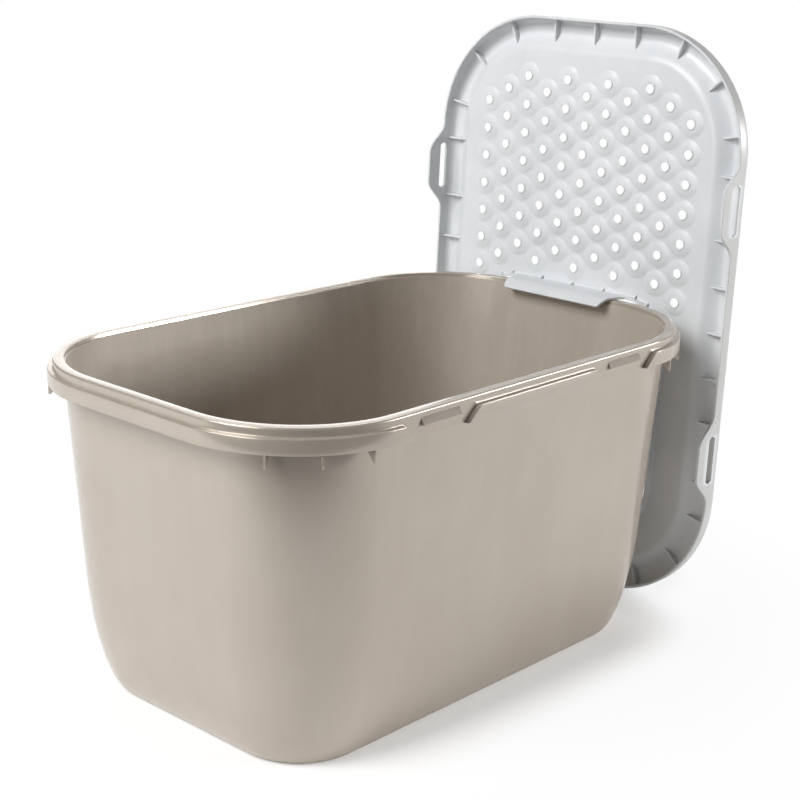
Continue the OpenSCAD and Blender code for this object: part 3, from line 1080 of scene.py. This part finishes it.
    def edge(self) -> Shape:
        """Builds skirt, tabs, bead and slope, outside and inside."""
        deep = self.skirt_depth()
        levels = [-mix(self.bead_r, deep, share) for share in self.skirt_shares]
        rings = [self.edge_ring(i, z) for i, z in reversed(self.edge_line(self.wall))]
        rings += [self.edge_ring(self.wall, z) for z in levels]
        foot = ((self.wall, SOFT), (self.wall - SOFT, 0.0), (SOFT, 0.0), (0.0, SOFT))
        rings += [self.edge_ring(inset, up - deep) for inset, up in foot]
        face = len(rings) - 1
        rings += [self.edge_ring(0.0, z) for z in reversed(levels)]
        rings += [self.edge_ring(i, z) for i, z in self.edge_line(0.0)]
        n = len(rings[0])
        # The skirt's outer face is flagged for the material's painted shade.
        shape = Shape(marked=slice(face * n, (face + 5) * n))
        shape.loft(rings)
        return shape

    def drains(self) -> list[Point]:
        """Returns the drain holes' places: staggered rows down to the entry."""
        column = self.pitch * math.sqrt(3)
        short, odd, even = self.row_halves
        half_w = even * column - self.dome_r - self.split_play / 2
        base = self.collar_base - self.wall
        high = self.collar_top + base + self.split_play
        base_r = self.entry_r + base
        past = min(half_w - (self.entry_w / 2 - self.entry_r), base_r)
        low = self.collar_top - self.entry_r + math.sqrt(base_r**2 - past**2) + self.split_play
        places = []
        row = 0
        first = self.length / 2 - self.drain_end
        while first - row * self.pitch / 2 >= low:
            u = first - row * self.pitch / 2
            widest = short if row == 0 else odd if row % 2 else even
            for v in np.arange(-widest, widest + 0.1) * column:
                if u - self.dome_r > (high if abs(v) < half_w else low):
                    places.append((u, float(v)))
            row += 1
        return places

    def circle(self, centre: Point, r: float, z: float) -> np.ndarray:
        """Returns a ring round a drain hole."""
        a = np.arange(self.dome_segments) * 2 * np.pi / self.dome_segments
        x, y = centre[0] + r * np.cos(a), centre[1] + r * np.sin(a)
        return np.column_stack([x, y, np.full(a.shape, z)])

    @property
    def dome_rim(self) -> float:
        """Radius at which a dome's upper face meets the field."""
        return self.dome_r - self.wall / 3

    def dome_line(self, inner: float, outer: float) -> list[Point]:
        """Returns a dome's curve from its foot outwards as (radius, depth under the field)."""
        shares = [k / self.dome_steps for k in range(self.dome_steps + 1)]
        return [(mix(inner, outer, t), self.dome_h * (1 - t**self.dome_curve)) for t in shares]

    def dome(self) -> Piece:
        """Builds one dome with its hole, from the panel's underside through to its top."""
        soft = self.drain_soft
        foot = self.drain_r + self.drain_collar_w
        tip = -self.dome_h - self.drain_collar_h
        under = [(self.dome_r + self.dome_edge, 0.0)]
        curve = self.dome_line(foot + self.dome_foot[0], self.dome_r)
        under += [(r, -d) for r, d in reversed(curve)]
        under += [(foot, tip + soft), (foot - soft, tip)]
        under += [(self.drain_r + soft, tip), (self.drain_r, tip + soft)]
        floor = self.wall - self.dome_h
        throat = self.drain_r + self.drain_flare
        over = [(self.drain_r, -self.dome_h), (throat, floor - soft), (throat + soft, floor)]
        curve = self.dome_line(throat + self.dome_foot[1], self.dome_rim)
        over += [(r, self.wall - d) for r, d in curve[1:]]
        over.append((self.dome_rim + self.dome_edge, self.wall))
        shape = Shape()
        shape.loft([self.circle((0, 0), r, z) for r, z in under + over])
        piece = Piece("drain_dome")
        piece.take(shape)
        return piece

    def entry(self) -> Round:
        """Lays out stations round the entry, close together where the hanging lip's ends curve."""
        straight = self.entry_l / 2 - self.entry_r
        side = self.entry_w / 2 - self.entry_r
        tip = self.lip_tip / side
        ends = [mix(tip, 1.0, k / self.lip_steps) for k in range(self.lip_steps)]
        long_stops = [(x, 0.0, 0.0) for x in np.linspace(0.6, -0.6, 5) * straight]
        short = (0.25, 0.5, tip * 0.97, *ends)
        return Round(straight, self.entry_r, self.entry_steps, long_stops, short)

    def entry_ring(self, stations: Round, out: float, z: float) -> np.ndarray:
        """Returns a ring of the entry, `out` outside the collar's inner face, narrower below."""
        grow = out - self.wall
        half_l, half_w = self.entry_l / 2 + grow, self.entry_w / 2 + grow
        ring = stations.ring(half_l, half_w, self.entry_r + grow, z)
        share = np.clip(0.5 - ring[:, 0] / self.entry_l, 0, 1)
        ring[:, 1] *= 1 - share * self.entry_taper / (self.entry_w / 2)
        return ring + np.array([self.entry_mid, 0, 0])

    def bent(self, out: float, depth: np.ndarray) -> tuple[np.ndarray, np.ndarray]:
        """Returns a place on the lip, (out, height), which bends down past the tub's wall."""
        turn = np.clip(depth - self.lip_bend, 0, None) / self.lip_curve
        reach = self.lip_curve + out
        low = -self.field_down - self.wall - np.minimum(depth, self.lip_bend)
        return reach * np.cos(turn) - self.lip_curve, low - reach * np.sin(turn)

    def collar(self, stations: Round) -> Shape:
        """Builds the collar and its deep hanging lip."""
        side = self.entry_w / 2 - self.entry_r
        ring = self.entry_ring(stations, self.wall, 0.0)
        upper = (ring[:, 0] > self.entry_mid) & (np.abs(ring[:, 1]) <= side + NEAR)
        share = (side - np.abs(ring[:, 1])) / (side - self.lip_tip)
        deep = self.collar_h + (self.lip_h - self.collar_h) * np.where(upper, ease(share), 0.0)
        low = -self.field_down - self.wall
        edge, roll = self.lip_edge, self.entry_roll
        depths = [deep * part for part in self.lip_shares] + [deep - edge]
        rows = [(self.wall + out, low - down) for out, down in self.collar_fillet]
        rows += [self.bent(self.wall, depth) for depth in depths]
        rows += [self.bent(out, deep) for out in (self.wall - edge, edge)]
        rows += [self.bent(0.0, depth) for depth in reversed(depths)]
        rows += arc(roll, -self.field_down - roll, roll, 180, 90, 5)
        rows.append((roll + self.entry_flat, -self.field_down))
        shape = Shape()
        shape.loft([self.entry_ring(stations, out, z) for out, z in rows])
        return shape

    def panel(self, z: float, hole: np.ndarray, dome_r: float) -> Shape:
        """Builds one face of the field, with the entry and the domes left open.

        Args:
            z: Height of the face.
            hole: The entry's ring.
            dome_r: Radius that each dome leaves open.

        Returns:
            The face, in triangles.
        """
        loops = [self.edge_ring(self.field_in, z), hole]
        loops += [self.circle(place, dome_r, z) for place in self.drains()]
        flat = np.vstack(loops)
        owner = np.concatenate([np.full(len(loop), k) for k, loop in enumerate(loops)])
        edges = []
        start = 0
        for loop in loops:
            n = len(loop)
            edges += [(start + i, start + (i + 1) % n) for i in range(n)]
            start += n
        corners = [Vector(p[:2]) for p in flat]
        verts, _, faces, origin, _, _ = delaunay_2d_cdt(corners, edges, [], 1, NEAR)
        owners = [owner[o[0]] if o else -1 for o in origin]
        kept = [f for f in faces if len({owners[i] for i in f}) > 1 or owners[f[0]] == 0]
        shape = Shape()
        shape.extend([(v.x, v.y, z) for v in verts], kept)
        return shape

    def cut_slots(self, obj: Object) -> None:
        """Cuts the latch slots through the tabs of a lid that is still flat and in millimetres."""
        half, high = self.slot_l / 2, self.slot_h / 2
        side = half - self.slot_point
        outline = [(half, 0), (side, high), (-side, high), (-half, 0), (-side, -high), (side, -high)]
        shape = Shape()
        shape.prism(outline, 4 * self.wall)
        cutter = Piece("slot_cutter")
        middle = (self.width - self.wall) / 2
        for sx, sy in CORNERS:
            at = (sx * self.latch_x, sy * middle, -self.slot_down)
            cutter.take(shape, Matrix.Translation(at))
        cutter.weld()
        tool = cutter.object(scale=1.0)
        modifier = obj.modifiers.new("slots", "BOOLEAN")
        modifier.object = tool
        modifier.solver = "EXACT"
        old = obj.data
        obj.data = plain(obj)
        bpy.data.meshes.remove(old)
        drop(tool)

    def moulding(self) -> Object:
        """Builds the lid's whole skin, with its domes, collar and slots."""
        stations = self.entry()
        top, low = -self.field_down, -self.field_down - self.wall
        flat = Piece("lid_flat")
        flat.take(self.edge())
        flat.take(self.collar(stations))
        upper = self.entry_ring(stations, self.entry_roll + self.entry_flat, top)
        lower = self.entry_ring(stations, self.wall + self.collar_fillet[0][0], low)
        flat.take(self.panel(top, upper, self.dome_rim + self.dome_edge))
        flat.take(self.panel(low, lower, self.dome_r + self.dome_edge))
        places = [(u, v, low, 0.0) for u, v in self.drains()]
        flat.take_mesh(scatter("drain_domes", places, self.dome(), self.material))
        flat.weld()
        flat_object = flat.object(scale=1.0)
        self.cut_slots(flat_object)
        piece = Piece("lid_moulding")
        piece.take_mesh(flat_object.data)
        drop(flat_object)
        piece.weld()
        return piece.object(matrix=self.matrix)

    def gussets(self) -> Object:
        """Builds the ribs inside the skirt and under the collar's upper side."""
        root = self.wall / 2
        line = [(-i, z) for i, z in self.edge_line(root) if i <= self.gusset_reach]
        skirt = [*line, (-self.gusset_flat, -self.gusset_down), (-root, -self.gusset_down)]
        places = []
        for s in (1, -1):
            across = s * math.pi / 2
            along = across - math.pi / 2
            places += [(s * x, s * self.width / 2, 0.0, across) for x in self.long_gussets]
            places += [(s * self.length / 2, s * y, 0.0, along) for y in self.short_gussets]
        r = self.corner_r
        cx, cy = self.length / 2 - r, self.width / 2 - r
        places += corner_places(cx, cy, r, self.corner_gussets, 0.0)
        far, deep = self.collar_gusset_w, -self.collar_gusset_h
        collar = [(-root, root), (far, root), (far, 0.0), (0.0, deep), (-root, deep)]
        hooks = []
        for v in self.collar_gussets:
            past = max(abs(v) - (self.entry_w / 2 - self.entry_r), 0.0)
            fall = self.entry_r - math.sqrt(self.entry_r**2 - past**2)
            hooks.append((self.collar_top - fall, v, -self.field_down - self.wall, 0.0))
        piece = Piece("lid_gussets")
        for name, outline, spots in (("skirt_ribs", skirt, places), ("collar_ribs", collar, hooks)):
            part = rib(outline, self.gusset_t)
            piece.take_mesh(scatter(name, spots, part, self.material))
        return piece.object(matrix=self.matrix)

    def build(self) -> None:
        """Builds and dresses the lid's pieces."""
        nodes = ("lid_rim", "lid_walk_field", "lid_entry_collar")
        finish_piece(self.moulding(), self.material, Body.LID, nodes)
        finish_piece(self.gussets(), self.material, Body.LID)


# Studio


@dataclass(frozen=True)
class Softbox:
    """A soft light: its place and aim in metres, its two sides and its power in watts."""

    name: str
    spot: tuple
    aim: tuple
    size: tuple
    power: float

    def hang(self) -> None:
        """Hangs the light where the camera doesn't see it."""
        data = bpy.data.lights.new(self.name, "AREA")
        data.shape = "RECTANGLE"
        data.size, data.size_y = self.size
        data.energy = self.power
        lamp = link(self.name, data)
        lamp.location = self.spot
        way = Vector(self.aim) - Vector(self.spot)
        lamp.rotation_euler = way.to_track_quat("-Z", "Y").to_euler()
        lamp.visible_camera = False


@dataclass
class Studio:
    """White floor and background, soft lights and the camera.

    The camera's values are the solved view, in millimetres, pixels and degrees. A foot is the
    floor under a body: centre, half length, half width and corner radius in metres. Glow and
    contact are how far the paper's own white covers the shadows, away from a foot and at it.
    Bounce is the floor's white glow that lights the object, painted light, dimmed round the feet as
    painted shade.
    """

    focal_px: float = 1695.33
    frame_px: float = 800.0
    azimuth: float = -47.4387
    elevation: float = 16.6944
    roll: float = -1.4654
    offset: tuple = (-18.721, -99.016, 1601.174)
    pivot_z: float = 140.0
    centre_px: tuple = (396.083, 405.360)
    sensor: float = 36.0
    clip: tuple = (0.05, 60.0)
    floor_size: float = 14.0
    white: str = "FFFFFF"
    paper: str = "F8F8F8"
    # colour of the painted shade on the floor in front
    dark: str = "303030"
    sky: str = "F4F6FA"
    glow: float = 0.9
    contact: float = 0.3
    fade: tuple = (0.35, 0.6)
    tub_foot: tuple = (0.012, -0.012, 0.245, 0.15, 0.08)
    tub_shade: float = 0.06
    lid_foot: tuple = (0.318, 0.005, 0.012, 0.075, 0.012)
    lid_shade: float = 0.08
    inside: float = -0.01
    hidden: float = 0.14
    painted_dark_front: tuple = (0.55, 0.8)
    bounce: float = 0.34
    around: float = 0.01
    lights: tuple = (
        Softbox("left_high", (-2.0, 0.4, 2.2), (0.1, 0.0, 0.3), (1.4, 1.4), 80.0),
        Softbox("left_low", (-2.4, -0.2, 0.7), (0.0, 0.0, 0.2), (1.2, 1.0), 15.0),
        Softbox("right_far", (3.4, -3.4, 0.95), (0.0, 0.0, 0.2), (2.6, 0.8), 220.0),
        Softbox("rear_high", (1.5, 1.6, 2.2), (0.0, 0.0, 0.2), (1.6, 1.6), 22.0),
        Softbox("back_low", (1.9, 1.75, 0.65), (0.0, 0.0, 0.3), (3.2, 1.2), 26.0),
    )

    def camera(self) -> None:
        """Places the camera by the solved view."""
        a, e, roll = (math.radians(v) for v in (self.azimuth, self.elevation, self.roll))
        look = Vector((-math.sin(a) * math.cos(e), math.cos(a) * math.cos(e), -math.sin(e)))
        right = Vector((math.cos(a), math.sin(a), 0.0))
        up = right.cross(look)
        turned = right * math.cos(roll) - up * math.sin(roll)
        up = right * math.sin(roll) + up * math.cos(roll)
        px, py, dist = self.offset
        spot = Vector((0, 0, self.pivot_z)) - (turned * px + up * py + look * dist)
        data = bpy.data.cameras.new("camera")
        data.sensor_width = self.sensor
        data.lens = self.focal_px / self.frame_px * self.sensor
        data.shift_x = (self.frame_px / 2 - self.centre_px[0]) / self.frame_px
        data.shift_y = (self.centre_px[1] - self.frame_px / 2) / self.frame_px
        data.clip_start, data.clip_end = self.clip
        camera = link("camera", data)
        turn = Matrix((turned, up, -look)).transposed().to_4x4()
        camera.matrix_world = Matrix.Translation(spot * MM) @ turn
        bpy.context.scene.camera = camera

    def gap(self, x: Term, y: Term, foot: Sequence[float]) -> Term:
        """Returns the distance outside a footprint.

        Args:
            x: First coordinate in metres.
            y: Second coordinate.
            foot: Centre, half length, half width and corner radius of the rounded footprint.

        Returns:
            The distance in metres.
        """
        cx, cy, half_l, half_w, r = foot
        along = (abs(x - cx) - (half_l - r)).above(0.0)
        across = (abs(y - cy) - (half_w - r)).above(0.0)
        return (along * along + across * across) ** 0.5 - r

    def floor(self) -> None:
        """Lays the floor: paper that keeps the shadow and turns white away from the object.

        Round the feet its glow is dimmed, a painted shadow, and in front it is painted dark, a painted
        shade.
        """
        half = self.floor_size / 2
        corners = [(-half, -half, 0), (half, -half, 0), (half, half, 0), (-half, half, 0)]
        mesh = bpy.data.meshes.new("studio_floor")
        mesh.from_pydata(corners, [], [(0, 1, 2, 3)])
        s = Shader("studio_floor")
        x, y, _ = s.axes()
        away = ((x * x + y * y) ** 0.5).between(*self.fade)
        # Painted shade: the floor in front is painted dark past where the camera sees its glow, so the
        # glossy tub reflects dark there and gets no bounce from it.
        front = ((x + y) * -math.sqrt(0.5)).between(*self.painted_dark_front)
        white = linear(self.white)
        colour = s.blend(s.noise(3.0, 2.0), linear(self.paper), white)
        colour = s.blend(front, colour, linear(self.dark))
        paper = s.add("ShaderNodeBsdfDiffuse", inputs={"Color": colour})
        glow = s.add("ShaderNodeEmission", inputs={"Color": white, "Strength": 1.0})
        seen = Term(s, s.add("ShaderNodeLightPath").outputs["Is Camera Ray"])
        tub, lid = (self.gap(x, y, foot) for foot in (self.tub_foot, self.lid_foot))
        # Painted shadow: the paper's glow is dimmed round each foot, so the floor there is darker than
        # the lights alone make it.
        clear = tub.between(self.inside, self.tub_shade) * lid.between(self.inside, self.lid_shade)
        # Painted shade: the floor's glow, painted light that lights the object, is dimmed round the feet
        # as well.
        lit = tub.between(self.inside, self.hidden) * lid.between(self.inside, self.hidden)
        shown = clear * (self.glow - self.contact) + away * (1 - self.glow) + self.contact
        share = seen * shown + (1 - seen) * (1 - front) * lit * self.bounce
        shaders = {0: share, 1: paper.outputs[0], 2: glow.outputs[0]}
        both = s.add("ShaderNodeMixShader", inputs=shaders)
        s.add("ShaderNodeOutputMaterial", inputs={"Surface": both.outputs[0]})
        mesh.materials.append(s.material)
        link("studio_floor", mesh)

    def world(self) -> None:
        """Sets the white surroundings, which light the object less than they show."""
        world = bpy.data.worlds.new("studio")
        world.use_nodes = True
        bpy.context.scene.world = world
        g = Graph(world.node_tree)
        ray = g.add("ShaderNodeLightPath")
        shaders = {0: ray.outputs["Is Camera Ray"]}
        for k, (code, strength) in enumerate(((self.sky, self.around), (self.white, 1.0)), 1):
            given = {"Color": linear(code), "Strength": strength}
            shaders[k] = g.add("ShaderNodeBackground", inputs=given).outputs[0]
        both = g.add("ShaderNodeMixShader", inputs=shaders)
        g.add("ShaderNodeOutputWorld", inputs={"Surface": both.outputs[0]})

    def build(self) -> None:
        """Sets up floor, lights, background and camera."""
        self.floor()
        self.world()
        for light in self.lights:
            light.hang()
        self.camera()
        bpy.context.scene.view_settings.view_transform = "Standard"


def main() -> None:
    """Builds the litter box on its frame, then the studio round it."""
    logging.basicConfig(level=logging.INFO, format="%(name)s %(message)s")
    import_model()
    tub = Tub()
    tub.build()
    Lid(tub=tub).build()
    Studio().build()


if __name__ == "__main__":
    main()
